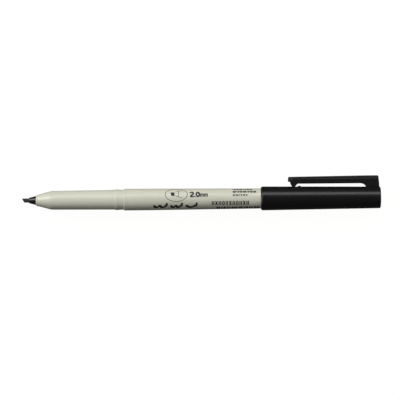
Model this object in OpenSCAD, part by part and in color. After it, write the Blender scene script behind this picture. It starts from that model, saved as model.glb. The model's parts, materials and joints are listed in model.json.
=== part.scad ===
// Calligraphy marker with a chisel nib, lying on a table with its cap posted on the tail.
// Every module draws along its own z axis: z = 0 at the nib's tip, z rising towards the tail.
// lying() then turns that axis to +X and sets the pen down on the floor.

/* [Nib] */
// Width of the nib strip, across the pen
nib_w = 1.74; // [1.4:0.01:1.8]
// Thickness of the nib strip
nib_t = 1.3; // [0.9:0.1:1.4]
// How far the writing edge is set back from one side of the strip to the other
nib_slant = 1.0; // [0:0.1:1.2]
// Thickness left at the writing edge
nib_edge_t = 0.45; // [0.3:0.05:0.8]
// Length of the wedge that thins the strip to its writing edge
nib_wedge_l = 1.6; // [1:0.1:2]
// Whole length of the nib strip, from tip to reservoir
nib_l = 27; // [25:0.5:30]
// Angle between the flat of the nib and the floor, with the clip resting on the floor
nib_roll = 17.1; // [0:0.1:45]

/* [Nib holder] */
// Distance from the nib's tip to the holder's nose
nose_z = 3; // [2.5:0.05:3.2]
// Radius of the holder's nose
nose_r = 1.12; // [1.12:0.01:1.2]
// Radius of the holder's shank in the barrel
shank_r = 1.92; // [1.85:0.01:1.95]
// Rear end of the holder
holder_end_z = 19; // [17:0.5:21]

/* [Barrel] */
// Front mouth of the barrel
mouth_z = 5.95; // [5.5:0.01:6]
// Radius of the mouth
mouth_r = 2.175; // [2.15:0.005:2.25]
// Where the front cone meets the grip
shoulder_z = 12.3; // [12:0.1:12.6]
// Radius of the grip at the cone
grip_front_r = 3.9; // [3.8:0.01:3.95]
// Radius of the grip at its rear end
grip_rear_r = 4.1; // [4.05:0.01:4.12]
// Middle of the bead that the cap snaps over
bead_z = 39.75; // [39.6:0.05:39.9]
// Radius of the snap bead
bead_r = 4.27; // [4.24:0.01:4.29]
// Width of the snap bead
bead_w = 2.4; // [2:0.1:2.5]
// Radius of the neck between the bead and the step
neck_r = 4.19; // [4.15:0.01:4.2]
// Step that the closed cap rests against
step_z = 42.6; // [42.2:0.1:43]
// Radius of the barrel behind the step
body_r = 4.51; // [4.45:0.01:4.55]
// Length of the straight stretch behind the step
land_l = 10; // [6:0.5:14]
// Radius of the barrel at its tail
tail_r = 4.02; // [3.99:0.01:4.03]
// End of the barrel tube
tube_end_z = 127; // [126.5:0.1:127.2]
// Radius of the hollow inside the barrel
cavity_r = 3.15; // [3.1:0.01:3.2]

/* [Reservoir] */
// Front face of the ink reservoir
core_z = 22.6; // [22:0.1:23]
// Rear face of the ink reservoir
core_end_z = 118.4; // [110:0.1:118.6]
// Radius over the film that wraps the reservoir
core_r = 2.96; // [2.8:0.01:2.98]
// Thickness of the film
film_t = 0.08; // [0.05:0.01:0.12]

/* [Cap] */
// Mouth of the posted cap
cap_z = 99.7; // [99.5:0.1:100]
// Length of the cap
cap_l = 49.9; // [49.5:0.1:50.3]
// Largest radius of the cap, just behind its mouth
cap_r = 4.99; // [4.95:0.01:5.05]
// Radius of the cap at its closed end
cap_end_r = 4.51; // [4.48:0.01:4.6]
// Thickness of the closed end
cap_end_t = 1.2; // [1:0.1:1.6]

/* [Clip] */
// Front end of the clip
clip_z = 111.15; // [110:0.05:112]
// Distance from the pen's axis to the clip's outer face, at its root
clip_outer_r = 9.25; // [8.9:0.05:9.4]
// Distance from the pen's axis to the clip's outer face, at its front end
clip_front_r = 8.9; // [8.8:0.05:9.1]
// Thickness of the clip's arm
clip_t = 3.15; // [2.5:0.05:3.3]
// Width of the clip at its front end
clip_front_w = 3.3; // [3:0.1:3.6]
// Width of the clip at its root
clip_root_w = 3.8; // [3.6:0.1:4]
// Middle of the hook under the clip
hook_z = 113.45; // [113.3:0.05:113.6]
// Middle of the small ridge on the cap behind the hook
ridge_z = 115.8; // [115.6:0.1:116.2]

/* [Hidden] */
$fn = 96;

ivory = [0.80, 0.79, 0.70];
black_moulded = [0.08, 0.08, 0.08];
nib_fibre = [0.10, 0.10, 0.11];
reservoir_ink = [0.16, 0.16, 0.20];
film_clear = [0.85, 0.88, 0.90];
liner_natural = [0.88, 0.88, 0.86];

// Barrel
cone_slope = (grip_front_r - mouth_r) / (shoulder_z - mouth_z);
shoulder_blend = 0.7;
bead_front_z = bead_z - bead_w / 2;
bead_rear_z = bead_z + bead_w / 2;
step_round = 0.22;
land_end_z = step_z + land_l;
nose_wall_z = 13;
cavity_full_z = 16.5;
socket_r = shank_r;
tail_round = 0.15;
seat_rib_w = 0.8;
seat_rib_r = 2.3;
seat_rib_n = 4;
side_rib_w = 0.6;
side_rib_r = 3.0;
side_rib_n = 6;

// Tail plug
plug_head_t = 1.0;
plug_round = 0.45;
plug_spigot_l = 8;
plug_wall = 0.9;
pen_end_z = tube_end_z + plug_head_t;

// Nib holder
holder_cone_z = nose_z + 0.45;
vent_w = 0.7;
vent_depth = 0.35;

// Cap, with depths measured from its mouth
posted_l = cap_z + cap_l;
lip_bevel_l = 0.55;
lip_bevel_t = 0.48;
lip_bore_r = 4.34;
snap_rib_r = 4.24;
snap_rib_start = 0.7;
snap_rib_end = 1.5;
snap_groove_r = 4.40;
snap_groove_start = 1.8;
snap_groove_end = 4.3;
bore_front_r = 4.25;
bore_front_d = 4.8;
bore_rear_r = 4.09;
bore_rear_d = 30.6;
liner_seat_r = 3.98;
liner_d = 31;
end_round = 0.4;
cap_taper = (cap_r - cap_end_r) / (cap_l - lip_bevel_l - end_round);

// Inner cap
liner_l = 14.4;
liner_collar_l = 3;
liner_body_r = 3.62;
liner_mouth_r = 3.7;
liner_seal_r = 3.2;
liner_seal_l = 2;
liner_end_r = 3.0;
liner_end_t = 0.8;
liner_rib_w = 0.6;
liner_rib_n = 4;

// Clip
clip_inner_r = clip_outer_r - clip_t;
knuckle_r = clip_t / 2;
knuckle_play = 0.04;
pivot_z = 143.2;
pivot_r = clip_outer_r - knuckle_r;
fillet_z = 141.4;
fillet_end_z = 143.75;
lip_t = 1.95;
hook_tip_gap = 0.08;
hook_front_w = 1.45;
hook_heel_w = 1.3;
hook_heel_t = 2.85;
hook_rear_w = 1.65;
hook_tip_w = 1.4;
hook_tip_round = 0.25;
ridge_w = 1.3;
ridge_half_x = 1.5;
ridge_h = 0.3;
clip_round = 0.4;
clip_foot_gap = 0.45;
clip_end_gap = 0.85;
corner_a = asin(clip_root_w / 2 / clip_outer_r);
clip_dip = asin(cap_r / clip_outer_r) - corner_a;

// Where the pen lies: the cap's mouth and the clip's lower corner touch the floor,
// and the origin is under the middle of the whole outline.
side_reach = clip_outer_r * cos(clip_dip - corner_a);
mid_y = (side_reach - cap_r) / 2;

// Radius of the barrel behind the straight stretch
function barrel_r(z) = body_r + (tail_r - body_r) * (z - land_end_z) / (tube_end_z - land_end_z);

// Radius of the cap's outside
function cap_outer_r(z) = cap_r - cap_taper * (z - cap_z - lip_bevel_l);

// Points along an arc about [cx, cy], from angle a0 to a1
function arc(cx, cy, r, a0, a1, steps) =
    [for (i = [0 : steps]) let (a = a0 + (a1 - a0) * i / steps) [cx + r * cos(a), cy + r * sin(a)]];

// Smooth rise and fall of the snap bead, as [radius, z]
function bead_points(steps) =
    [for (i = [0 : steps])
        let (t = i / steps, base = grip_rear_r + (neck_r - grip_rear_r) * t)
        [base + (bead_r - base) * pow(sin(180 * t), 1.3), bead_front_z + bead_w * t]];

// Rounded corner of the shoulder where the cone meets the grip, as [radius, z]
function shoulder_points(steps) =
    let (
        a = [grip_front_r - cone_slope * shoulder_blend, shoulder_z - shoulder_blend],
        b = [grip_front_r, shoulder_z],
        c = [grip_front_r, shoulder_z + shoulder_blend]
    )
    [for (i = [0 : steps]) let (t = i / steps) a * pow(1 - t, 2) + b * 2 * t * (1 - t) + c * pow(t, 2)];

module barrel_outline() {
    polygon(concat(
        [[socket_r, mouth_z], [mouth_r - 0.1, mouth_z], [mouth_r, mouth_z + 0.12]],
        shoulder_points(6),
        bead_points(12),
        [[neck_r, step_z - 0.2], [neck_r + 0.08, step_z]],
        arc(body_r - step_round, step_z + step_round, step_round, -90, 0, 5),
        [[body_r, land_end_z], [barrel_r(tube_end_z - tail_round), tube_end_z - tail_round]],
        [[tail_r - tail_round, tube_end_z]],
        [[cavity_r, tube_end_z], [cavity_r, cavity_full_z], [cavity_r - 0.7, nose_wall_z]],
        [[socket_r, nose_wall_z]]
    ));
}

// Ribs that reach inwards from the barrel's hollow
module inner_ribs(count, width, inner_r, z0, z1) {
    difference() {
        for (i = [0 : count - 1]) {
            rotate([0, 0, 360 * i / count])
                translate([0, -width / 2, z0])
                    cube([cavity_r + 0.2, width, z1 - z0]);
        }
        translate([0, 0, z0 - 1]) cylinder(r = inner_r, h = z1 - z0 + 2);
    }
}

// One-piece moulded barrel: front cone, grip, snap bead, step and tapering tail
module barrel() {
    color(ivory) {
        rotate_extrude() barrel_outline();
        inner_ribs(seat_rib_n, seat_rib_w, seat_rib_r, cavity_full_z, core_z - 0.1);
        inner_ribs(side_rib_n, side_rib_w, side_rib_r, core_z, core_end_z);
    }
}

// Plug pressed into the tail: a domed-edge head on a hollow spigot
module tail_plug() {
    head_r = tail_r - tail_round;
    spigot_z = tube_end_z - plug_spigot_l;
    color(ivory)
        rotate_extrude() polygon(concat(
            [[0, pen_end_z], [0, tube_end_z - 1], [cavity_r - plug_wall, tube_end_z - 1]],
            [[cavity_r - plug_wall, spigot_z], [cavity_r - 0.3, spigot_z], [cavity_r, spigot_z + 0.5]],
            [[cavity_r, tube_end_z], [head_r, tube_end_z]],
            arc(head_r - plug_round, pen_end_z - plug_round, plug_round, 0, 90, 5)
        ));
}

// Strip that the nib is cut from, which the holder grips and the reservoir feeds
module nib_strip(z0, z1) {
    translate([-nib_t / 2, -nib_w / 2, z0]) cube([nib_t, nib_w, z1 - z0]);
}

// Chisel nib of bonded fibre: slanted across its width and wedged in its thickness
module nib() {
    color(nib_fibre)
        intersection() {
            nib_strip(0, nib_l);
            rotate([0, -90, 0]) linear_extrude(nib_t + 1, center = true) polygon([
                [0, nib_w / 2], [nib_slant, -nib_w / 2], [nib_l, -nib_w / 2], [nib_l, nib_w / 2]
            ]);
            rotate([90, 0, 0]) linear_extrude(nib_w + 1, center = true) polygon([
                [-nib_edge_t / 2, 0], [nib_edge_t / 2, 0], [nib_t / 2, nib_wedge_l + nib_slant],
                [nib_t / 2, nib_l], [-nib_t / 2, nib_l], [-nib_t / 2, nib_wedge_l + nib_slant]
            ]);
        }
}

// Black insert that grips the nib, with two vents along its shank for air to reach the barrel
module nib_holder() {
    cone_r = shank_r - cone_slope * (mouth_z - holder_cone_z);
    color(black_moulded)
        difference() {
            rotate_extrude() polygon([
                [0, nose_z], [nose_r - 0.1, nose_z], [nose_r, nose_z + 0.08], [cone_r, holder_cone_z],
                [shank_r, mouth_z], [shank_r, holder_end_z - 0.4], [shank_r - 0.3, holder_end_z], [0, holder_end_z]
            ]);
            nib_strip(0, holder_end_z + 1);
            for (side = [-1, 1]) {
                translate([side * shank_r - vent_depth, -vent_w / 2, mouth_z + 1])
                    cube([2 * vent_depth, vent_w, holder_end_z]);
            }
        }
}

// Fibre reservoir that soaks up the ink, with the nib's rear end pushed into it
module ink_reservoir() {
    color(reservoir_ink)
        difference() {
            translate([0, 0, core_z]) cylinder(r = core_r - film_t, h = core_end_z - core_z);
            nib_strip(core_z - 1, nib_l);
        }
}

// Thin film wrapped round the reservoir
module reservoir_film() {
    color(film_clear)
        translate([0, 0, core_z])
            difference() {
                cylinder(r = core_r, h = core_end_z - core_z);
                translate([0, 0, -1]) cylinder(r = core_r - film_t, h = core_end_z - core_z + 2);
            }
}

module cap_outline() {
    end_z = posted_l;
    end_in_z = end_z - cap_end_t;
    polygon(concat(
        [[lip_bore_r, cap_z], [cap_r - lip_bevel_t, cap_z], [cap_r, cap_z + lip_bevel_l]],
        arc(cap_end_r - end_round, end_z - end_round, end_round, 0, 90, 5),
        [[0, end_z], [0, end_in_z], [liner_seat_r - 0.3, end_in_z], [liner_seat_r, end_in_z - 0.3]],
        [[liner_seat_r, cap_z + liner_d], [bore_rear_r, cap_z + bore_rear_d]],
        [[bore_front_r, cap_z + bore_front_d], [snap_groove_r, cap_z + snap_groove_end]],
        [[snap_groove_r, cap_z + snap_groove_start], [snap_rib_r, cap_z + snap_rib_end]],
        [[snap_rib_r, cap_z + snap_rib_start]]
    ));
}

// Turns a flat [z, radius] outline into a slab across the clip
module across(width) {
    rotate([0, -90, 0]) linear_extrude(width, center = true) children();
}

// Everything inside the clip's plan: tapering in width, and crowned like the cap
module clip_envelope() {
    intersection() {
        rotate([-90, 0, 0]) linear_extrude(clip_outer_r + 1) polygon([
            [-clip_front_w / 2, -clip_z], [-clip_root_w / 2, -pivot_z], [-clip_root_w / 2, -posted_l],
            [clip_root_w / 2, -posted_l], [clip_root_w / 2, -pivot_z], [clip_front_w / 2, -clip_z]
        ]);
        translate([0, 0, clip_z - 1]) cylinder(r = clip_outer_r, h = posted_l - clip_z + 2);
    }
}

// Root block of the clip, moulded on the cap, with the round socket that the arm bends about
module clip_root() {
    intersection() {
        clip_envelope();
        difference() {
            across(clip_root_w + 1) polygon(concat(
                arc(posted_l - clip_end_gap - clip_round, clip_outer_r - clip_round, clip_round, 0, 90, 4),
                [[pivot_z, clip_outer_r], [fillet_z, clip_inner_r - knuckle_play]],
                [for (p = arc(0, 0, 1, 90, 0, 6))
                    [fillet_z + p[0] * (fillet_end_z - fillet_z),
                     4.4 + p[1] * (clip_inner_r - knuckle_play - 4.4)]],
                [[fillet_end_z, liner_seat_r + 0.2], [posted_l - clip_foot_gap, liner_seat_r + 0.2]]
            ));
            across(clip_root_w + 2) translate([pivot_z, pivot_r]) circle(r = knuckle_r + knuckle_play);
            across(clip_root_w + 2)
                translate([fillet_z - 1, clip_inner_r - knuckle_play])
                    square([pivot_z - fillet_z + 1, clip_t + 1]);
        }
    }
}

// Small ridge across the cap that keeps cloth under the clip's hook
module cap_ridge() {
    top_r = cap_outer_r(ridge_z) + ridge_h;
    across(2 * ridge_half_x) polygon([
        [ridge_z - ridge_w / 2, cap_outer_r(ridge_z) - 0.5], [ridge_z - ridge_w / 2, cap_outer_r(ridge_z) - 0.25],
        [ridge_z - 0.3, top_r - 0.05], [ridge_z, top_r], [ridge_z + 0.3, top_r - 0.05],
        [ridge_z + ridge_w / 2, cap_outer_r(ridge_z) - 0.25], [ridge_z + ridge_w / 2, cap_outer_r(ridge_z) - 0.5]
    ]);
}

// Cap shell with its lip, snap rib and groove, its closed end and the clip's root
module cap_shell() {
    color(black_moulded)
        union() {
            rotate_extrude() cap_outline();
            clip_root();
            cap_ridge();
        }
}

// Soft cup inside the cap's end that seals on the front cone when the pen is closed
module inner_cap() {
    z0 = cap_z + liner_d;
    color(liner_natural) {
        rotate_extrude() polygon([
            [liner_mouth_r, z0], [liner_seat_r, z0], [liner_seat_r, z0 + liner_collar_l],
            [liner_body_r, z0 + liner_collar_l + 0.3], [liner_body_r - 0.1, z0 + liner_l - 0.3],
            [liner_body_r - 0.4, z0 + liner_l], [0, z0 + liner_l], [0, z0 + liner_l - liner_end_t],
            [liner_end_r, z0 + liner_l - liner_end_t], [liner_seal_r, z0 + liner_seal_l]
        ]);
        for (i = [0 : liner_rib_n - 1]) {
            rotate([0, 0, 45 + 360 * i / liner_rib_n])
                translate([liner_body_r - 0.3, -liner_rib_w / 2, z0 + liner_collar_l])
                    cube([liner_seat_r - liner_body_r + 0.25, liner_rib_w, liner_l - liner_collar_l - 1]);
        }
    }
}

// Springy arm of the pocket clip, with its front lip, its hook and the knuckle it bends about
module pocket_clip() {
    hook_tip_r = cap_outer_r(hook_z) + hook_tip_gap;
    tip_reach = hook_tip_w / 2 - hook_tip_round;
    color(black_moulded)
        intersection() {
            clip_envelope();
            union() {
                across(clip_root_w + 1) polygon(concat(
                    [[pivot_z, clip_inner_r], [pivot_z, clip_outer_r]],
                    arc(clip_z + clip_round, clip_front_r - clip_round, clip_round, 90, 180, 4),
                    [[clip_z, clip_front_r - lip_t], [hook_z - hook_front_w, clip_front_r - lip_t],
                     [hook_z - hook_heel_w, clip_front_r - hook_heel_t]],
                    arc(hook_z - tip_reach, hook_tip_r + hook_tip_round, hook_tip_round, 210, 270, 3),
                    arc(hook_z + tip_reach, hook_tip_r + hook_tip_round, hook_tip_round, 270, 330, 3),
                    [[hook_z + hook_rear_w, clip_inner_r]]
                ));
                across(clip_root_w + 1) translate([pivot_z, pivot_r]) circle(r = knuckle_r);
            }
        }
}

// Lays the pen on the floor along +X; dip turns a piece about the pen's axis, down from +Y
module lying(dip) {
    translate([-posted_l / 2, -mid_y, cap_r]) rotate([-dip, 0, 0]) rotate([0, 90, 0]) children();
}

lying(nib_roll) barrel();
lying(nib_roll) tail_plug();
lying(nib_roll) nib_holder();
lying(nib_roll) nib();
lying(nib_roll) ink_reservoir();
lying(nib_roll) reservoir_film();
lying(clip_dip) cap_shell();
lying(clip_dip) inner_cap();
lying(clip_dip) pocket_clip();
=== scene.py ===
"""Looks of a chisel-nib calligraphy marker, lying on a table with its cap posted on the tail.

Sizes are in millimetres along the pen from the nib's tip, and in millimetres from the pen's axis.
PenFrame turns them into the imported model's frame, in metres.
"""

import json
import logging
import math
from dataclasses import dataclass, field
from enum import Enum
from typing import Callable, Sequence

import bmesh
import bpy
from mathutils import Matrix, Vector


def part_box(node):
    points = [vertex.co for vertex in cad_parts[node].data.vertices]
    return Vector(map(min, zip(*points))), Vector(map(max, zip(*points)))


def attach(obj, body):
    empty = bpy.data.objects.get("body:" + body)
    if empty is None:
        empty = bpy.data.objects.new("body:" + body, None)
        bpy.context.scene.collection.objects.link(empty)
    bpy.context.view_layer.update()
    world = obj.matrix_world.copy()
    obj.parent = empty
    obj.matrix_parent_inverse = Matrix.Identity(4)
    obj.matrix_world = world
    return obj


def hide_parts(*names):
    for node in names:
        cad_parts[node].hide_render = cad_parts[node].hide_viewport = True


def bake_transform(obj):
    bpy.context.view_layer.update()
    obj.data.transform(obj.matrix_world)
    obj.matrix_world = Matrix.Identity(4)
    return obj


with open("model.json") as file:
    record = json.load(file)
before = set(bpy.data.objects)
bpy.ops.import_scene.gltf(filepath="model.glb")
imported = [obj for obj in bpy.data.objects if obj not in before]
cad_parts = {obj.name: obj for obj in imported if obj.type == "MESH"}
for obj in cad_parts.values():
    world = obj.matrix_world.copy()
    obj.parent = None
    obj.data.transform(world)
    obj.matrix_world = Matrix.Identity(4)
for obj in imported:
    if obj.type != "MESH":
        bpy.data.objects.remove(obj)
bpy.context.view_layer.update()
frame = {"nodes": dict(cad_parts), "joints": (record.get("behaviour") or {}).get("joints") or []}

LOG = logging.getLogger("marker")
MM = 0.001
Place = tuple[float, float]
Outline = list[Place]


class Body(str, Enum):
    """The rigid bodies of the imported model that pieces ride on."""

    BARREL = "barrel"
    CAP = "cap"
    CLIP = "clip"


class Slot(str, Enum):
    """The record's material slot names for the new pieces; no piece is given its slot here."""

    BARREL = "barrel_ivory"
    CAP = "cap_black"
    HOLDER = "holder_black"
    NIB = "nib_fibre"
    PRINT = "print_black"


# ---------------------------------------------------------------- materials


def linear(hex_colour: str) -> tuple[float, float, float, float]:
    """Turn an sRGB hex colour into linear RGBA.

    Args:
        hex_colour: Six hex digits, such as "D9D7C5".

    Returns:
        Linear red, green, blue and an alpha of 1.
    """
    channels = [int(hex_colour[i : i + 2], 16) / 255 for i in (0, 2, 4)]
    return (*[c / 12.92 if c <= 0.04045 else ((c + 0.055) / 1.055) ** 2.4 for c in channels], 1.0)


def add_node(tree: bpy.types.NodeTree, kind: str, settings: dict | None = None, **inputs) -> bpy.types.Node:
    """Add a node, set its properties, and set or link its inputs.

    Args:
        tree: The node tree that gets the node.
        kind: The node's type name, such as "ShaderNodeTexNoise".
        settings: Property names and values.
        **inputs: Input names, with _ for a space, or in0, in1 for an input's number, each with a
            value or an output socket to link.

    Returns:
        The new node.
    """
    node = tree.nodes.new(kind)
    for name, value in (settings or {}).items():
        setattr(node, name, value)
    for name, value in inputs.items():
        by_number = name.startswith("in") and name[2:].isdigit()
        socket = node.inputs[int(name[2:]) if by_number else name.replace("_", " ")]
        if isinstance(value, bpy.types.NodeSocket):
            tree.links.new(value, socket)
        else:
            socket.default_value = value
    return node


def new_material(name: str) -> tuple[bpy.types.Material, bpy.types.Node, bpy.types.NodeSocket]:
    """Make a material with nodes.

    Args:
        name: The material's name.

    Returns:
        The material, its shader, and the socket that gives a place on the piece.
    """
    material = bpy.data.materials.new(name)
    material.use_nodes = True
    tree = material.node_tree
    place = add_node(tree, "ShaderNodeTexCoord").outputs["Object"]
    return material, tree.nodes["Principled BSDF"], place


def mix_colours(shader: bpy.types.Node, share: bpy.types.NodeSocket, first: str, second: str) -> None:
    """Mix two sRGB hex colours by a share into a shader's base colour."""
    tree = shader.id_data
    colour = add_node(
        tree, "ShaderNodeMix", {"data_type": "RGBA"}, in0=share, in6=linear(first), in7=linear(second)
    )
    tree.links.new(colour.outputs[2], shader.inputs["Base Color"])


def add_bump(shader: bpy.types.Node, height: bpy.types.NodeSocket, height_mm: float, strength: float) -> None:
    """Give a shader's surface a relief of a height in millimetres."""
    tree = shader.id_data
    bump = add_node(tree, "ShaderNodeBump", Height=height, Distance=height_mm * MM, Strength=strength)
    tree.links.new(bump.outputs[0], shader.inputs["Normal"])


@dataclass(frozen=True)
class MouldedPlastic:
    """An injection-moulded thermoplastic with a fine-textured skin.

    The eye sees an even colour that drifts very slightly along the piece, a satin gloss that breaks
    up a little, and a skin like very fine orange peel.
    """

    name: str
    colour: str
    drift_colour: str
    roughness: float
    ior: float = 1.49
    drift_mm: float = 9.0
    peel_mm: float = 0.35
    peel_height_mm: float = 0.004
    peel_strength: float = 0.6
    gloss_swing: float = 0.06
    scatter: float = 0.0
    scatter_mm: float = 0.6

    def build(self) -> bpy.types.Material:
        """Build the material's nodes and return the material."""
        material, shader, place = new_material(self.name)
        tree = shader.id_data
        drift = add_node(tree, "ShaderNodeTexNoise", Vector=place, Scale=1 / (self.drift_mm * MM), Detail=3.0)
        mix_colours(shader, drift.outputs["Fac"], self.colour, self.drift_colour)
        peel = add_node(tree, "ShaderNodeTexNoise", Vector=place, Scale=1 / (self.peel_mm * MM), Detail=2.0)
        gloss = add_node(
            tree, "ShaderNodeMapRange", Value=peel.outputs["Fac"],
            To_Min=self.roughness - self.gloss_swing, To_Max=self.roughness + self.gloss_swing,
        )
        tree.links.new(gloss.outputs[0], shader.inputs["Roughness"])
        add_bump(shader, peel.outputs["Fac"], self.peel_height_mm, self.peel_strength)
        shader.inputs["IOR"].default_value = self.ior
        if self.scatter:
            shader.inputs["Subsurface Weight"].default_value = self.scatter
            shader.inputs["Subsurface Radius"].default_value = (1.0, 0.9, 0.7)
            shader.inputs["Subsurface Scale"].default_value = self.scatter_mm * MM
        return material


@dataclass(frozen=True)
class BondedFibre:
    """Polyester fibres bonded side by side into a strip or core and soaked with ink.

    The eye sees a dull near-black with faint paler lines that all run along the pen.
    """

    name: str
    colour: str
    line_colour: str
    roughness: float = 0.78
    fibre_mm: float = 0.09
    run_mm: float = 4.0
    relief_mm: float = 0.012
    relief_strength: float = 0.8

    def build(self) -> bpy.types.Material:
        """Build the material's nodes and return the material."""
        material, shader, place = new_material(self.name)
        tree = shader.id_data
        across, along = 1 / (self.fibre_mm * MM), 1 / (self.run_mm * MM)
        run = add_node(tree, "ShaderNodeMapping", Vector=place, Scale=(along, across, across))
        fibres = add_node(tree, "ShaderNodeTexNoise", Vector=run.outputs[0], Scale=1.0, Detail=2.0)
        spread = add_node(
            tree, "ShaderNodeMapRange", Value=fibres.outputs["Fac"], From_Min=0.35, From_Max=0.75
        )
        mix_colours(shader, spread.outputs[0], self.colour, self.line_colour)
        add_bump(shader, fibres.outputs["Fac"], self.relief_mm, self.relief_strength)
        shader.inputs["Roughness"].default_value = self.roughness
        shader.inputs["Sheen Weight"].default_value = 0.15
        shader.inputs["IOR"].default_value = 1.45
        return material


@dataclass(frozen=True)
class PrintedInk:
    """A pad-printed film of matt ink, a little uneven in how much of it was laid down."""

    name: str
    colour: str
    thin_colour: str
    roughness: float = 0.6
    mottle_mm: float = 0.5

    def build(self) -> bpy.types.Material:
        """Build the material's nodes and return the material."""
        material, shader, place = new_material(self.name)
        tree = shader.id_data
        scale = 1 / (self.mottle_mm * MM)
        mottle = add_node(tree, "ShaderNodeTexNoise", Vector=place, Scale=scale, Detail=4.0)
        mix_colours(shader, mottle.outputs["Fac"], self.colour, self.thin_colour)
        shader.inputs["Roughness"].default_value = self.roughness
        return material


class Finish(Enum):
    """Every finish on the marker."""

    # Polypropylene pigmented ivory: soft satin skin, slightly waxy because a little light enters it
    IVORY = MouldedPlastic(
        "polypropylene_moulded_ivory", "D8D8C8", "D3D3C2", 0.29, gloss_swing=0.04, scatter=0.12
    )
    # Polypropylene pigmented black: deep colour with a broad satin highlight
    BLACK = MouldedPlastic("polypropylene_moulded_black", "100E0F", "151213", 0.29, gloss_swing=0.03)
    # Acetal moulded black: tighter, brighter highlight than the cap's
    HOLDER = MouldedPlastic("acetal_moulded_black", "121113", "171618", 0.22, ior=1.48, gloss_swing=0.02)
    # Natural low-density polyethylene: milky and waxy
    LINER = MouldedPlastic("polyethylene_moulded_natural", "DEDDD6", "D6D5CC", 0.45, ior=1.51, scatter=0.3)
    # Clear polypropylene film round the reservoir
    FILM = MouldedPlastic("polypropylene_film_clear", "C9CDD0", "C1C6CA", 0.2, peel_mm=1.5)
    # Bonded polyester nib, soaked with black ink
    NIB = BondedFibre("polyester_fibre_bonded_nib", "0E0E10", "3A393B")
    # Acetate tow reservoir, soaked with black ink
    RESERVOIR = BondedFibre("acetate_tow_inked", "17171C", "33333C", fibre_mm=0.2, run_mm=12.0)
    # Dark grey pad-printing ink
    PRINT = PrintedInk("pad_print_ink_charcoal", "1C1B17", "2E2D28")
    # The same ink in a thin outline colour
    PRINT_PALE = PrintedInk("pad_print_ink_grey", "4A493F", "5E5D52")

    def material(self) -> bpy.types.Material:
        """Return this finish's material, built on first use."""
        return bpy.data.materials.get(self.value.name) or self.value.build()


# ---------------------------------------------------------------- geometry


@dataclass(frozen=True)
class PenFrame:
    """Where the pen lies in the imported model's frame."""

    tip_x: float
    axis_y: float
    axis_z: float
    clip_turn: float
    face_turn: float = math.radians(17.1)

    @classmethod
    def from_model(cls) -> "PenFrame":
        """Read the pen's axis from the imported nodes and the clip's turn from its joint."""
        low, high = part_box("ink_reservoir")
        clip_axis = next(j for j in frame["joints"] if j["name"] == "clip_flex")["axis"]
        dip = math.atan2(-clip_axis[1], -clip_axis[2])
        return cls(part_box("nib")[0].x, (low.y + high.y) / 2, (low.z + high.z) / 2, math.pi / 2 + dip)

    def point(self, along: float, radius: float, turn: float) -> Vector:
        """Place a point.

        Args:
            along: Millimetres from the nib's tip.
            radius: Millimetres from the axis.
            turn: Angle about the axis in radians, 0 at the top and rising towards the clip's side.

        Returns:
            The point in the model's frame, in metres.
        """
        return Vector((
            self.tip_x + along * MM,
            self.axis_y + radius * MM * math.sin(turn),
            self.axis_z + radius * MM * math.cos(turn),
        ))

    def beside(self, along: float, out: float, across: float, turn: float) -> Vector:
        """Place a point by its distance out along a direction from the axis, and across that direction.

        Args:
            along: Millimetres from the nib's tip.
            out: Millimetres from the axis, along the direction.
            across: Millimetres square to both the axis and the direction.
            turn: The direction's angle about the axis, in radians.

        Returns:
            The point in the model's frame, in metres.
        """
        radius = math.hypot(out, across)
        return self.point(along, radius, turn + math.atan2(across, out))


def softened(corners: Sequence[tuple[float, float, float]], steps: int = 5) -> Outline:
    """Round the corners of an open outline.

    Args:
        corners: (along, radius, trim) for each corner; trim is how much of each side the curve takes.
        steps: Straight pieces in each rounded corner.

    Returns:
        The outline's (along, radius) points.
    """
    points: Outline = []
    for i, (along, radius, trim) in enumerate(corners):
        here = Vector((along, radius))
        if trim <= 0 or i in (0, len(corners) - 1):
            points.append((along, radius))
            continue
        before = Vector(corners[i - 1][:2]) - here
        after = Vector(corners[i + 1][:2]) - here
        start = here + before.normalized() * min(trim, before.length * 0.49)
        end = here + after.normalized() * min(trim, after.length * 0.49)
        for k in range(steps + 1):
            t = k / steps
            point = start * (1 - t) ** 2 + here * (2 * t * (1 - t)) + end * t**2
            points.append((point.x, point.y))
    return points


def new_piece(name: str, mesh: bmesh.types.BMesh, finish: Finish, crease_deg: float = 38) -> bpy.types.Object:
    """Turn a bmesh into a smooth-shaded object with one finish.

    Args:
        name: The piece's name.
        mesh: Its geometry, which is freed.
        finish: Its finish.
        crease_deg: Edges that turn more than this stay sharp.

    Returns:
        The new object.
    """
    bmesh.ops.remove_doubles(mesh, verts=mesh.verts, dist=1e-8)
    bmesh.ops.recalc_face_normals(mesh, faces=mesh.faces)
    data = bpy.data.meshes.new(name)
    mesh.to_mesh(data)
    mesh.free()
    for polygon in data.polygons:
        polygon.use_smooth = True
    data.set_sharp_from_angle(angle=math.radians(crease_deg))
    piece = bpy.data.objects.new(name, data)
    bpy.context.scene.collection.objects.link(piece)
    data.materials.append(finish.material())
    return piece


def lathe(mesh: bmesh.types.BMesh, pen: PenFrame, outline: Outline, segments: int = 128) -> None:
    """Spin a closed outline about the pen's axis; points at radius 0 become poles.

    Args:
        mesh: The bmesh that gets the surface.
        pen: The pen's frame.
        outline: (along, radius) points in order round the section.
        segments: Facets round the axis.
    """
    rings = []
    for along, radius in outline:
        if radius < 1e-6:
            rings.append([mesh.verts.new(pen.point(along, 0, 0))])
        else:
            turns = (2 * math.pi * k / segments for k in range(segments))
            rings.append([mesh.verts.new(pen.point(along, radius, t)) for t in turns])
    for a, b in zip(rings, rings[1:] + rings[:1]):
        if len(a) == 1 and len(b) == 1:
            continue
        for k in range(segments):
            n = (k + 1) % segments
            corners = [a[0]] if len(a) == 1 else [a[k], a[n]]
            corners += [b[0]] if len(b) == 1 else [b[n], b[k]]
            mesh.faces.new(corners)


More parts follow.
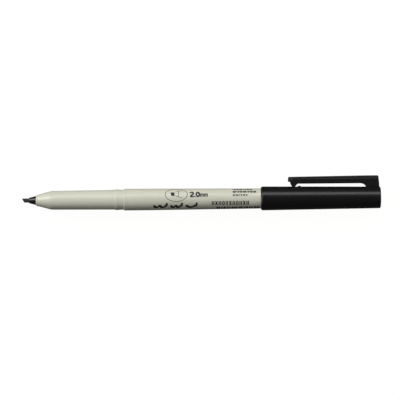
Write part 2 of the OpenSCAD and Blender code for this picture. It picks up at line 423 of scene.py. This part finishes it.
def span(
    mesh: bmesh.types.BMesh, rings: list[list[bmesh.types.BMVert]], closed: bool = False
) -> list[bmesh.types.BMFace]:
    """Span faces between rings with equal counts of points, and cap the ends of an open row of rings.

    Args:
        mesh: The bmesh that holds the rings' points.
        rings: The rings, in order.
        closed: Whether the last ring joins the first.

    Returns:
        The faces at the two ends, or none where the rings form a loop.
    """
    pairs = list(zip(rings, rings[1:])) + ([(rings[-1], rings[0])] if closed else [])
    for a, b in pairs:
        for k in range(len(a)):
            n = (k + 1) % len(a)
            mesh.faces.new((a[k], a[n], b[n], b[k]))
    return [] if closed else [mesh.faces.new(rings[0]), mesh.faces.new(rings[-1][::-1])]


def smoothstep(t: float) -> float:
    """Ease a value from 0 to 1."""
    t = min(max(t, 0.0), 1.0)
    return t * t * (3 - 2 * t)


# ---------------------------------------------------------------- barrel


@dataclass
class Barrel:
    """Ivory barrel: front cone, grip, snap bead, step, main tube, and the plug in its tail."""

    pen: PenFrame
    mouth: float = 5.95
    mouth_radius: float = 2.175
    ring: float = 0.7
    ring_height: float = 0.1
    socket_radius: float = 1.92
    shoulder: float = 12.3
    shoulder_trim: float = 0.7
    grip_front_radius: float = 3.9
    grip_rear_radius: float = 4.1
    bead: float = 39.75
    bead_radius: float = 4.3
    bead_width: float = 2.4
    neck_radius: float = 4.19
    step: float = 42.6
    step_slope: float = 0.26
    rim: float = 0.06
    rim_length: float = 0.5
    radius: float = 4.51
    land_end: float = 52.6
    tail_end: float = 127.0
    tail_radius: float = 4.02
    hollow_radius: float = 3.15
    hollow_start: float = 16.5
    nose_wall: float = 13.0

    def radius_at(self, along: float) -> float:
        """Return the outer radius at a place behind the step, in millimetres."""
        t = (along - self.land_end) / (self.tail_end - self.land_end)
        return self.radius + (self.tail_radius - self.radius) * max(t, 0.0)

    def bead_outline(self, steps: int = 14) -> Outline:
        """Return the snap bead's smooth rise and fall."""
        points = []
        for i in range(steps + 1):
            t = i / steps
            base = self.grip_rear_radius + (self.neck_radius - self.grip_rear_radius) * t
            rise = (self.bead_radius - base) * math.sin(math.pi * t) ** 1.3
            points.append((self.bead - self.bead_width / 2 + self.bead_width * t, base + rise))
        return points

    def outline(self) -> Outline:
        """Return the barrel's section, outside first and then back through its hollow."""
        slope = (self.grip_front_radius - self.mouth_radius) / (self.shoulder - self.mouth)
        ring_end = self.mouth + self.ring
        front = softened([
            (self.mouth, self.socket_radius, 0),
            (self.mouth, self.mouth_radius - 0.04, 0.08),
            (self.mouth + 0.4, self.mouth_radius + 0.4 * slope + self.ring_height, 0.2),
            (ring_end, self.mouth_radius + self.ring * slope + self.ring_height * 0.7, 0.1),
            (ring_end + 0.08, self.mouth_radius + self.ring * slope - 0.03, 0.03),
            (ring_end + 0.2, self.mouth_radius + (self.ring + 0.2) * slope, 0.05),
            (self.shoulder, self.grip_front_radius, self.shoulder_trim),
            (self.bead - self.bead_width / 2, self.grip_rear_radius, 0),
        ], 6)
        rear = softened([
            (self.bead + self.bead_width / 2, self.neck_radius, 0),
            (self.step, self.neck_radius, 0.06),
            (self.step + self.step_slope, self.radius + self.rim, 0.12),
            (self.step + self.rim_length, self.radius + self.rim, 0.1),
            (self.step + self.rim_length + 0.15, self.radius, 0.1),
            (self.land_end, self.radius, 2.0),
            (self.tail_end, self.tail_radius, 0.15),
            (self.tail_end, self.hollow_radius, 0),
            (self.hollow_start, self.hollow_radius, 0),
            (self.nose_wall, self.hollow_radius - 0.7, 0),
            (self.nose_wall, self.socket_radius, 0),
        ], 6)
        return front[:-1] + self.bead_outline() + rear[1:]

    def build(self) -> list[bpy.types.Object]:
        """Build the barrel's own piece."""
        mesh = bmesh.new()
        lathe(mesh, self.pen, self.outline())
        return [new_piece("barrel_moulding", mesh, Finish.IVORY)]

    def dress(self) -> None:
        """Put the barrel in place of its plain node and finish the plug."""
        for piece in self.build():
            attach(piece, Body.BARREL.value)
            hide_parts("barrel")
            report(piece, Finish.IVORY)
        finish_node("tail_plug", Finish.IVORY)


# ---------------------------------------------------------------- nib


@dataclass
class WritingPoint:
    """Black insert in the cone's mouth, and the slanted chisel nib that it grips."""

    pen: PenFrame
    nose: float = 3.0
    nose_radius: float = 1.12
    cone_start: float = 3.45
    mouth: float = 5.95
    shank_radius: float = 1.92
    slope: float = 0.2717
    shank_end: float = 19.0
    nib_width: float = 1.74
    nib_thickness: float = 1.3
    edge_thickness: float = 0.45
    slant: float = 1.0
    wedge: float = 2.6
    nib_length: float = 27.0
    nib_corner: float = 0.16

    def holder(self) -> bpy.types.Object:
        """Build the holder: a short nose cone that runs back into the barrel."""
        cone_radius = self.shank_radius - self.slope * (self.mouth - self.cone_start)
        mesh = bmesh.new()
        lathe(mesh, self.pen, softened([
            (self.nose, 0.0, 0),
            (self.nose, self.nose_radius, 0.1),
            (self.cone_start, cone_radius, 0.2),
            (self.mouth, self.shank_radius, 0.05),
            (self.shank_end, self.shank_radius, 0.3),
            (self.shank_end, 0.0, 0),
        ]), segments=96)
        return new_piece("nib_holder_moulding", mesh, Finish.HOLDER)

    def nib_section(self, thickness: float, inset: float, steps: int = 4) -> Outline:
        """Return the nib's rounded cross-section.

        Args:
            thickness: The strip's thickness there, in millimetres.
            inset: How far the whole section is drawn in, in millimetres.
            steps: Straight pieces in each rounded corner.

        Returns:
            (across the width, through the thickness) points.
        """
        half_w, half_t = self.nib_width / 2 - inset, max(thickness / 2 - inset, 0.02)
        corner = min(self.nib_corner, half_t * 0.9)
        points = []
        for quarter, (sx, sy) in enumerate(((1, 1), (-1, 1), (-1, -1), (1, -1))):
            for k in range(steps + 1):
                a = math.pi / 2 * (quarter + k / steps)
                points.append((
                    sx * (half_w - corner) + corner * math.cos(a),
                    sy * (half_t - corner) + corner * math.sin(a),
                ))
        return points

    def nib(self) -> bpy.types.Object:
        """Build the nib: a strip cut to a slant across its width and thinned to its writing edge."""
        stations = [(0.0, 0.07), (0.03, 0.03), (0.1, 0.0)]
        stations += [(self.wedge * t / 8, 0.0) for t in range(1, 9)]
        stations += [(self.nib_length - 0.1, 0.0), (self.nib_length, 0.1)]
        mesh = bmesh.new()
        rings = []
        for along, inset in stations:
            t = min(along / self.wedge, 1.0)
            thickness = self.edge_thickness + (self.nib_thickness - self.edge_thickness) * t
            lean = self.slant * (1 - smoothstep((along - 0.2) / self.wedge))
            ring = []
            for across, through in self.nib_section(thickness, inset):
                back = lean * (0.5 - across / self.nib_width)
                place = self.pen.beside(along + back, through, across, self.pen.face_turn)
                ring.append(mesh.verts.new(place))
            rings.append(ring)
        span(mesh, rings)
        return new_piece("nib_strip", mesh, Finish.NIB, crease_deg=30)

    def dress(self) -> None:
        """Put the holder and the nib in place of their plain nodes."""
        for piece, node, slot, finish in (
            (self.holder(), "nib_holder", Slot.HOLDER, Finish.HOLDER),
            (self.nib(), "nib", Slot.NIB, Finish.NIB),
        ):
            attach(piece, Body.BARREL.value)
            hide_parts(node)
            report(piece, finish)
        finish_node("ink_reservoir", Finish.RESERVOIR)
        finish_node("reservoir_film", Finish.FILM)


# ---------------------------------------------------------------- cap


@dataclass
class Cap:
    """Black cap: bevelled lip, tapering shell, flat closed end, and the small ridge under the clip."""

    pen: PenFrame
    mouth: float = 99.7
    length: float = 49.9
    radius: float = 4.99
    end_radius: float = 4.51
    lip_radius: float = 4.51
    lip_length: float = 0.55
    bore_lip: float = 4.34
    bore_front: float = 4.25
    bore_rear: float = 4.09
    bore_depth: float = 30.6
    rib_start: float = 0.7
    rib_end: float = 1.5
    rib_radius: float = 4.24
    groove_start: float = 1.8
    groove_end: float = 4.3
    groove_radius: float = 4.40
    seat_radius: float = 3.98
    seat_depth: float = 31.0
    end_thickness: float = 1.2
    end_round: float = 0.4
    end_trim: float = 0.55
    gate_radius: float = 0.9
    gate_depth: float = 0.12
    ridge: float = 115.8
    ridge_length: float = 1.3
    ridge_half_width: float = 1.5
    ridge_height: float = 0.3

    def radius_at(self, along: float) -> float:
        """Return the shell's outer radius at a place along the pen, in millimetres."""
        start = self.mouth + self.lip_length
        taper = (self.end_radius - self.radius) / (self.mouth + self.length - self.end_round - start)
        return self.radius + taper * (along - start)

    def outline(self) -> Outline:
        """Return the shell's section, outside first and then back through its bore."""
        end = self.mouth + self.length
        inner_end = end - self.end_thickness
        outside = softened([
            (self.mouth, self.bore_lip, 0),
            (self.mouth, self.lip_radius, 0.08),
            (self.mouth + self.lip_length, self.radius, 0.18),
            (end, self.end_radius, self.end_trim),
            (end, self.gate_radius + 0.15, 0.05),
            (end - self.gate_depth, self.gate_radius, 0.05),
            (end - self.gate_depth, 0.0, 0),
        ], 6)
        inside = [
            (inner_end, 0.0),
            (inner_end, self.seat_radius - 0.3),
            (inner_end - 0.3, self.seat_radius),
            (self.mouth + self.seat_depth, self.seat_radius),
            (self.mouth + self.bore_depth, self.bore_rear),
            (self.mouth + self.groove_end + 0.5, self.bore_front),
            (self.mouth + self.groove_end, self.groove_radius),
            (self.mouth + self.groove_start, self.groove_radius),
            (self.mouth + self.rib_end, self.rib_radius),
            (self.mouth + self.rib_start, self.rib_radius),
        ]
        return outside + inside

    def ridge_mesh(self, mesh: bmesh.types.BMesh) -> None:
        """Add the ridge: a low rounded bar across the cap, sunk into its surface.

        Args:
            mesh: The bmesh that gets the ridge.
        """
        top = self.radius_at(self.ridge) + self.ridge_height
        foot = self.radius_at(self.ridge) - 0.45
        section = [(-self.ridge_length / 2, foot)]
        for k in range(9):
            a = math.pi * k / 8
            rise = max(math.sin(a), 0.0) ** 0.8
            section.append((-self.ridge_length / 2 * math.cos(a), foot + 0.2 + (top - foot - 0.2) * rise))
        section.append((self.ridge_length / 2, foot))
        rows = 12
        rings = []
        for i in range(rows + 1):
            across = self.ridge_half_width * (2 * i / rows - 1)
            edge = 1 - 0.25 * smoothstep((abs(across) / self.ridge_half_width - 0.8) / 0.2)
            ring = []
            for along, out in section:
                height = foot + (out - foot) * edge
                place = self.pen.beside(self.ridge + along * edge, height, across, self.pen.clip_turn)
                ring.append(mesh.verts.new(place))
            rings.append(ring)
        span(mesh, rings)

    def dress(self) -> None:
        """Put the shell in place of its plain node and finish the inner cap."""
        mesh = bmesh.new()
        lathe(mesh, self.pen, self.outline())
        shell = new_piece("cap_moulding", mesh, Finish.BLACK)
        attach(shell, Body.CAP.value)
        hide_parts("cap_shell")
        report(shell, Finish.BLACK)
        mesh = bmesh.new()
        self.ridge_mesh(mesh)
        ridge = new_piece("cap_ridge", mesh, Finish.BLACK)
        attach(ridge, Body.CAP.value)
        report(ridge, Finish.BLACK)
        finish_node("inner_cap", Finish.LINER)


@dataclass
class Clip:
    """Pocket clip moulded with the cap: root block, springy arm, hook and front lip, in one skin.

    Its side outline is a loop of (along, out) points. The skin goes over that outline from side to
    side with rounded edges, and is then shaped: wider at the root, crowned on its outer face, and
    narrowing outwards from a parting line half-way through the arm.
    """

    pen: PenFrame
    cap: Cap
    front: float = 111.15
    outer: float = 9.25
    front_outer: float = 8.9
    thickness: float = 3.15
    front_width: float = 3.3
    root_width: float = 3.8
    pivot: float = 143.2
    slot_curve_start: float = 141.4
    slot_end: float = 143.75
    hook: float = 113.45
    hook_gap: float = 0.08
    hook_front: float = 1.45
    hook_heel: float = 1.3
    hook_heel_depth: float = 2.85
    hook_rear: float = 1.65
    hook_tip: float = 1.35
    lip_thickness: float = 1.95
    foot_gap: float = 0.45
    end_gap: float = 0.85
    edge_round: float = 0.18
    parting_depth: float = 1.6
    draft_deg: float = 8.0
    nose_draft_deg: float = 3.5
    nose_middle: float = 112.25
    nose_reach: float = 1.0
    rows: int = 10

    def side_outline(self) -> Outline:
        """Return the loop seen from the side, in (along, out) millimetres."""
        end = self.cap.mouth + self.cap.length
        inner = self.outer - self.thickness
        foot = self.cap.seat_radius + 0.2
        hook_tip = self.cap.radius_at(self.hook) + self.hook_gap
        slot_curve = []
        for k in range(9):
            a = math.pi / 2 * k / 8
            slot_curve.append((
                self.slot_curve_start + math.cos(a) * (self.slot_end - self.slot_curve_start),
                foot + math.sin(a) * (inner - foot),
                0.0,
            ))
        corners = [
            (self.pivot, self.outer, 0),
            (end - self.end_gap, self.outer, 0.5),
            (end - self.foot_gap, foot, 0),
            *slot_curve,
            (self.hook + self.hook_rear, inner, 0.45),
            (self.hook + self.hook_tip / 2, hook_tip, 0.3),
            (self.hook - self.hook_tip / 2, hook_tip, 0.3),
            (self.hook - self.hook_heel, self.front_outer - self.hook_heel_depth, 0.3),
            (self.hook - self.hook_front, self.front_outer - self.lip_thickness, 0.28),
            (self.front, self.front_outer - self.lip_thickness, 0.3),
            (self.front, self.front_outer, 0.45),
            (self.pivot, self.outer, 0),
        ]
        return densified(softened(corners, 5)[:-1], 0.8)

    def half_width(self, along: float) -> float:
        """Return half the clip's width at a place along it, in millimetres."""
        t = min(max((along - self.front) / (self.pivot - self.front), 0.0), 1.0)
        return (self.front_width + (self.root_width - self.front_width) * t) / 2

    def drawn_in(self, outline: Outline, inset: float) -> Outline:
        """Move a loop's points inwards by an inset, along the mean of their sides' normals."""
        moved = []
        count = len(outline)
        for i, point in enumerate(outline):
            here = Vector(point)
            before = (here - Vector(outline[i - 1])).normalized()
            after = (Vector(outline[(i + 1) % count]) - here).normalized()
            normal = Vector((before.y + after.y, -before.x - after.x))
            normal.normalize()
            spread = max(normal.dot(Vector((after.y, -after.x))), 0.5)
            shifted = here + normal * (inset / spread)
            moved.append((shifted.x, shifted.y))
        return moved

    def shaped(self, along: float, out: float, across: float) -> Vector:
        """Shape a point of the straight-sided skin and place it.

        Args:
            along: Millimetres from the nib's tip.
            out: Millimetres from the axis along the clip's direction.
            across: Place across the clip, as a share of its half width.

        Returns:
            The point in the model's frame.
        """
        nose = 1 - smoothstep(abs(along - self.nose_middle) / self.nose_reach)
        above = out - (self.outer - self.parting_depth) + 0.5 * nose
        slope = math.tan(math.radians(self.draft_deg + self.nose_draft_deg * nose))
        narrowed = slope * (above if above > 0.12 else (above + 0.12) ** 2 / 0.48 if above > -0.12 else 0.0)
        side = across * (self.half_width(along) - narrowed)
        crown = self.outer - math.sqrt(self.outer**2 - side**2)
        near_top = smoothstep((out - (self.outer - self.thickness)) / self.thickness)
        return self.pen.beside(along, out - crown * near_top, side, self.pen.clip_turn)

    def build(self) -> bpy.types.Object:
        """Build the skin: bands over the outline from side to side, two side faces, then its shape."""
        outline = self.side_outline()
        steps = 4
        bands = [(self.edge_round + 0.07, 0.0)]
        for k in range(steps + 1):
            a = math.pi / 2 * k / steps
            bands.append((self.edge_round * (1 - math.sin(a)), self.edge_round * (1 - math.cos(a))))
        loops = []
        for sign in (-1, 1):
            side_loops = []
            for inset, pull in bands:
                drawn = self.drawn_in(outline, inset)
                side_loops.append([(x, y, sign * (1 - pull / self.half_width(x))) for x, y in drawn])
            loops.append(side_loops)
        middle = []
        for row in range(1, self.rows):
            share = 2 * row / self.rows - 1
            middle.append([(x, y, share * (1 - self.edge_round / self.half_width(x))) for x, y in outline])
        mesh = bmesh.new()
        rings = [[mesh.verts.new(p) for p in loop] for loop in loops[0] + middle + loops[1][::-1]]
        sides = span(mesh, rings)
        for side in sides:
            side.normal_update()
        bmesh.ops.triangulate(mesh, faces=sides, ngon_method="EAR_CLIP")
        parting = self.outer - self.parting_depth
        cuts = [((0, parting + d, 0), (0, 1, 0)) for d in (-0.62, -0.3, -0.12, 0.12, 0.3, 0.9)]
        cuts += [((self.nose_middle + self.nose_reach * d / 3, 0, 0), (1, 0, 0)) for d in range(-3, 4)]
        cuts += [((along, 0, 0), (1, 0, 0)) for along in range(116, 149, 4)]
        for place, normal in cuts:
            geometry = mesh.verts[:] + mesh.edges[:] + mesh.faces[:]
            bmesh.ops.bisect_plane(mesh, geom=geometry, dist=1e-6, plane_co=place, plane_no=normal)
        for vert in mesh.verts:
            vert.co = self.shaped(*vert.co)
        return new_piece("clip_moulding", mesh, Finish.BLACK)

    def dress(self) -> None:
        """Build the skin and put it in place of the clip's node."""
        piece = self.build()
        self.pen.point(self.slot_curve_start - 3.0, 0, 0)
        self.pen.point(self.slot_end, 0, 0)
        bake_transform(piece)
        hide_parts("pocket_clip")
        report(piece, Finish.BLACK)


def densified(outline: Outline, longest: float) -> Outline:
    """Add points to a loop so that no side is longer than a length.

    Args:
        outline: The loop's points.
        longest: The longest side allowed, in millimetres.

    Returns:
        The loop with the added points.
    """
    dense: Outline = []
    for i, point in enumerate(outline):
        here = Vector(point)
        there = Vector(outline[(i + 1) % len(outline)])
        pieces = max(1, math.ceil((there - here).length / longest))
        if (there - here).length < 1e-6:
            continue
        dense += [tuple(here.lerp(there, k / pieces)) for k in range(pieces)]
    return dense


# ---------------------------------------------------------------- print


@dataclass
class BarrelPrint:
    """Generic print on the barrel: a nib pictogram, the width, stroke drills and rows of marks.

    A mark's place is (along, round): millimetres along the pen, and millimetres round the barrel
    from its top line, rising towards the clip's side. Each mark is a film of ink with a thickness.
    """

    pen: PenFrame
    barrel: Barrel
    film: float = 0.02
    sunk: float = 0.06
    strips: int = 4
    bar_step: float = 0.4
    dark: bmesh.types.BMesh = field(default_factory=bmesh.new)
    pale: bmesh.types.BMesh = field(default_factory=bmesh.new)

    def on_barrel(self, along: float, around: float, height: float) -> Vector:
        """Return the point at a height over the barrel's surface."""
        radius = self.barrel.radius_at(along)
        return self.pen.point(along, radius + height, self.pen.face_turn + around / radius)

    def ribbon(
        self,
        mesh: bmesh.types.BMesh,
        line: Outline,
        width: Callable[[float, Vector], float],
        closed: bool = False,
    ) -> None:
        """Lay a line of ink along a path.

        Args:
            mesh: The bmesh that gets the ink.
            line: The path's (along, round) points.
            width: The line's width from how far along it is, 0 to 1, and its direction.
            closed: Whether the path is a loop.
        """
        count = len(line)
        rings = []
        for i, point in enumerate(line):
            before = Vector(line[i - 1] if closed or i else point)
            after = Vector(line[(i + 1) % count] if closed or i < count - 1 else point)
            direction = (after - before).normalized()
            half = width(i / max(count - 1, 1), direction) / 2
            side = Vector((-direction.y, direction.x)) * half
            left, right = Vector(point) + side, Vector(point) - side
            section = [(left.lerp(right, k / self.strips), self.film) for k in range(self.strips + 1)]
            section += [(right, -self.sunk), (left, -self.sunk)]
            rings.append([mesh.verts.new(self.on_barrel(p.x, p.y, height)) for p, height in section])
        span(mesh, rings, closed)

    def bar(self, mesh: bmesh.types.BMesh, start: Place, end: Place, width: float) -> None:
        """Lay a straight line of ink of even width."""
        a, b = Vector(start), Vector(end)
        steps = max(2, math.ceil((b - a).length / self.bar_step))
        self.ribbon(mesh, [tuple(a.lerp(b, k / steps)) for k in range(steps + 1)], lambda t, d: width)

    def arc_line(
        self, centre: Place, radii: Place, start_deg: float, end_deg: float, steps: int = 24
    ) -> Outline:
        """Return points along an elliptic arc."""
        points = []
        for k in range(steps + 1):
            a = math.radians(start_deg + (end_deg - start_deg) * k / steps)
            points.append((centre[0] + radii[0] * math.cos(a), centre[1] + radii[1] * math.sin(a)))
        return points

    def pictogram(self) -> None:
        """Draw an oval with a plain broad nib in it."""
        middle, fine = 64.5, 0.2
        oval = self.arc_line((middle, 2.06), (4.62, 3.0), 0, 360, 72)[:-1]
        self.ribbon(self.pale, oval, lambda t, d: 0.22, closed=True)
        for k in range(4):
            across = 2.8 - 0.4 * k
            self.bar(self.dark, (middle - 2.4 + 0.12 * k, across), (middle - 0.75, across), 0.42)
        self.bar(self.pale, (middle - 0.5, 3.4), (middle + 2.4, 4.1), fine)
        self.bar(self.pale, (middle - 0.5, 1.5), (middle + 2.4, 0.5), fine)
        self.bar(self.pale, (middle + 0.9, 3.7), (middle + 0.9, 1.1), fine)

    def width_mark(self) -> None:
        """Draw the nib's width as a plain number, with its unit."""
        stroke, thin = 0.68, 0.4
        low, high, unit_high = 0.95, 3.2, 2.2
        left = 70.2
        two = self.arc_line((left + 0.75, high - 0.72), (0.62, 0.55), 170, -40, 16)
        two += [(left + 0.85, low + 0.8), (left + 0.15, low + 0.15)]
        self.ribbon(self.dark, two, lambda t, d: stroke)
        self.bar(self.dark, (left - 0.05, low + 0.12), (left + 1.55, low + 0.12), 0.55)
        self.bar(self.dark, (left + 2.0, low - 0.1), (left + 2.0, low + 0.42), 0.55)
        zero = self.arc_line((left + 3.25, (low + high) / 2 - 0.02), (0.6, 0.98), 0, 360, 40)[:-1]
        self.ribbon(self.dark, zero, lambda t, d: stroke, closed=True)
        for letter in range(2):
            base = left + 4.35 + 1.65 * letter
            for stem in range(3):
                self.bar(self.dark, (base + 0.58 * stem, low), (base + 0.58 * stem, unit_high), thin)
            self.bar(self.dark, (base - 0.1, unit_high), (base + 1.25, unit_high), 0.36)

    def stroke_drill(self) -> None:
        """Draw a row of broad-nib practice strokes: plain waves with an upstroke, which spell nothing."""
        held = math.radians(60)
        nib = Vector((math.cos(held), math.sin(held)))

        def broad(t: float, direction: Vector) -> float:
            """Return the width that a broad nib held at a fixed angle leaves."""
            return 0.6 + 0.6 * abs(direction.x * nib.y - direction.y * nib.x)

        middle, swing = -3.4, 0.42
        for start, length, waves in ((54.9, 5.2, 2), (62.0, 4.4, 2), (68.3, 4.2, 1)):
            steps = 14 * waves
            wave = []
            for k in range(steps + 1):
                t = k / steps
                wave.append((start + length * t, middle + swing * math.cos(2 * math.pi * waves * t)))
            wave += self.arc_line((start + length, middle + swing + 0.6), (0.4, 0.6), -90, 80, 8)[1:]
            self.ribbon(self.dark, wave, broad)

    def small_rows(self) -> None:
        """Draw three rows of short dashes where small print would be."""
        rows = ((4.6, 0.9, 8.2, self.dark), (3.1, 1.0, 10.0, self.dark), (1.5, 0.8, 6.2, self.pale))
        left, gap, inset = 87.9, 0.16, 0.1
        for number, (across, height, length, ink) in enumerate(rows):
            place, end, line = left, left + length, height / 4
            i = 0
            while place < end - 0.4:
                stop = min(place + 0.45 + 0.3 * ((i * 5 + number * 3) % 4), end)
                self.bar(ink, (place, across + line), (stop, across + line), height * 0.44)
                self.bar(ink, (place + inset, across - line), (stop - inset, across - line), height * 0.44)
                place = stop + gap
                i += 1

    def batch_marks(self) -> None:
        """Draw a row of plain rings, crosses and ticks where a batch stamp would be."""
        low, high, stroke = -2.75, -0.95, 0.4
        start, pitch, width, inset = 79.3, 1.44, 0.85, 0.1
        for i in range(11):
            left = start + pitch * i
            right = left + width
            if i % 4 == 1:
                self.bar(self.dark, (left, low), (right, high), stroke)
                self.bar(self.dark, (left, high), (right, low), stroke)
            elif i % 4 == 3:
                ring = self.arc_line(((left + right) / 2, (low + high) / 2), (0.4, 0.75), 0, 360, 24)[:-1]
                self.ribbon(self.dark, ring, lambda t, d: stroke, closed=True)
            else:
                self.bar(self.dark, (left + inset, low), (left + inset, high), stroke)
                self.bar(self.dark, (right - inset, low), (right - inset, high), stroke)

    def stripes(self) -> None:
        """Draw a block of stripes of a few widths, which stands where a code block would be."""
        place, end = 81.2, 98.9
        high, low = -3.75, -5.6
        i = 0
        while place < end:
            width = 0.24 + 0.16 * ((i * 7 + 3) % 4)
            self.bar(self.dark, (place + width / 2, high), (place + width / 2, low), width)
            place += width + 0.18 + 0.12 * ((i * 5) % 3)
            i += 1

    def dress(self) -> None:
        """Draw every mark and put the two inks on the barrel."""
        self.pictogram()
        self.width_mark()
        self.stroke_drill()
        self.small_rows()
        self.batch_marks()
        self.stripes()
        inks = (("print_dark", self.dark, Finish.PRINT), ("print_pale", self.pale, Finish.PRINT_PALE))
        for name, mesh, finish in inks:
            piece = new_piece(name, mesh, finish)
            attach(piece, Body.BARREL.value)
            report(piece, finish)


# ---------------------------------------------------------------- stage


@dataclass
class Stage:
    """Pale table and backdrop, soft lights, and a camera that faces the barrel's print."""

    pen: PenFrame
    view_width: float = 166.88
    camera_height: float = 900.0
    centre_along: float = 74.32
    centre_beside: float = -0.42
    camera_turn_deg: float = -0.52
    sensor_width: float = 36.0
    key_turn_deg: float = 47.0
    side_turn_deg: float = 48.0
    surround: float = 0.06

    def camera(self) -> None:
        """Put the camera out from the pen's axis, on the side that the print faces."""
        data = bpy.data.cameras.new("camera")
        data.sensor_width = self.sensor_width
        data.lens = self.sensor_width * self.camera_height / self.view_width
        data.clip_end = 20
        camera = bpy.data.objects.new("camera", data)
        camera.location = self.pen.beside(
            self.centre_along, self.camera_height, self.centre_beside, self.pen.face_turn
        )
        roll = Matrix.Rotation(math.radians(self.camera_turn_deg), 3, "Z")
        camera.rotation_euler = (Matrix.Rotation(-self.pen.face_turn, 3, "X") @ roll).to_euler()
        bpy.context.scene.collection.objects.link(camera)
        bpy.context.scene.camera = camera

    def area_light(
        self, name: str, direction: Vector, distance: float, size: tuple[float, float], power: float
    ) -> None:
        """Hang a soft light that shines on the pen.

        Args:
            name: The light's name.
            direction: Where it is from the pen, before the turn that faces the print.
            distance: Metres from the pen.
            size: Its length along the pen and its height, in metres.
            power: Watts.
        """
        data = bpy.data.lights.new(name, "AREA")
        data.shape = "RECTANGLE"
        data.size, data.size_y = size
        data.energy = power
        light = bpy.data.objects.new(name, data)
        away = Matrix.Rotation(-self.pen.face_turn, 3, "X") @ direction.normalized()
        light.location = Vector((0, self.pen.axis_y, self.pen.axis_z)) + away * distance
        light.rotation_euler = away.to_track_quat("Z", "Y").to_euler()
        bpy.context.scene.collection.objects.link(light)

    def card(self, name: str, mesh: bmesh.types.BMesh, reflectance: str, glow: float) -> None:
        """Make a pale surface that glows evenly and neither lights the pen nor shows in its gloss.

        Args:
            name: The surface's name.
            mesh: Its geometry, which is freed.
            reflectance: The grey that it reflects, as sRGB hex.
            glow: Strength of its own glow.
        """
        data = bpy.data.meshes.new(name)
        mesh.to_mesh(data)
        mesh.free()
        material = bpy.data.materials.new(name + "_matt_card")
        material.use_nodes = True
        shader = material.node_tree.nodes["Principled BSDF"]
        shader.inputs["Base Color"].default_value = linear(reflectance)
        shader.inputs["Roughness"].default_value = 0.95
        shader.inputs["Specular IOR Level"].default_value = 0.0
        shader.inputs["Emission Color"].default_value = linear("FFFFFE")
        shader.inputs["Emission Strength"].default_value = glow
        data.materials.append(material)
        surface = bpy.data.objects.new(name, data)
        bpy.context.scene.collection.objects.link(surface)
        surface.visible_diffuse = False
        surface.visible_glossy = False
        surface.visible_shadow = False

    def dress(self) -> None:
        """Set the table, the backdrop, the lights, the surroundings and the camera."""
        table = bmesh.new()
        bmesh.ops.create_circle(table, cap_ends=True, segments=64, radius=3.0)
        self.card("table", table, "5A5A5A", 0.97)
        dome = bmesh.new()
        bmesh.ops.create_uvsphere(dome, u_segments=48, v_segments=24, radius=4.0)
        bmesh.ops.reverse_faces(dome, faces=dome.faces)
        self.card("backdrop", dome, "000000", 1.0)
        key = math.radians(self.key_turn_deg)
        self.area_light("key", Vector((0, math.sin(key), math.cos(key))), 0.70, (2.0, 0.26), 4.7)
        side = math.radians(self.side_turn_deg)
        for name, sign, power in (("left", -1, 2.6), ("right", 1, 1.2)):
            direction = Vector((sign * math.sin(side), 0.45, math.cos(side)))
            self.area_light(name, direction, 0.80, (0.4, 0.4), power)
        self.area_light("end", Vector((-0.9, -0.2, 0.4)), 0.80, (0.5, 0.5), 1.2)
        world = bpy.data.worlds.new("studio")
        world.use_nodes = True
        sky = world.node_tree.nodes["Background"]
        sky.inputs["Color"].default_value = linear("FFFFFF")
        sky.inputs["Strength"].default_value = self.surround
        bpy.context.scene.world = world
        bpy.context.scene.view_settings.view_transform = "Standard"
        self.camera()
        LOG.info("stage: table, backdrop, lights and camera are set")


# ---------------------------------------------------------------- assembly


def report(piece: bpy.types.Object, finish: Finish) -> None:
    """Log a finished piece."""
    LOG.info("%s: %d faces, %s", piece.name, len(piece.data.polygons), finish.value.name)


def finish_node(node: str, finish: Finish) -> None:
    """Give a CAD node that stays as it is its finish, on every material slot."""
    data = frame["nodes"][node].data
    data.materials.clear()
    data.materials.append(finish.material())
    LOG.info("%s: kept from the model, %s", node, finish.value.name)


def main() -> None:
    """Build the marker and its stage, in order."""
    logging.basicConfig(level=logging.INFO, format="%(name)s: %(message)s")
    pen = PenFrame.from_model()
    Stage(pen).dress()
    barrel = Barrel(pen)
    barrel.dress()
    WritingPoint(pen).dress()
    cap = Cap(pen)
    cap.dress()
    Clip(pen, cap).dress()
    BarrelPrint(pen, barrel).dress()


if __name__ == "__main__":
    main()
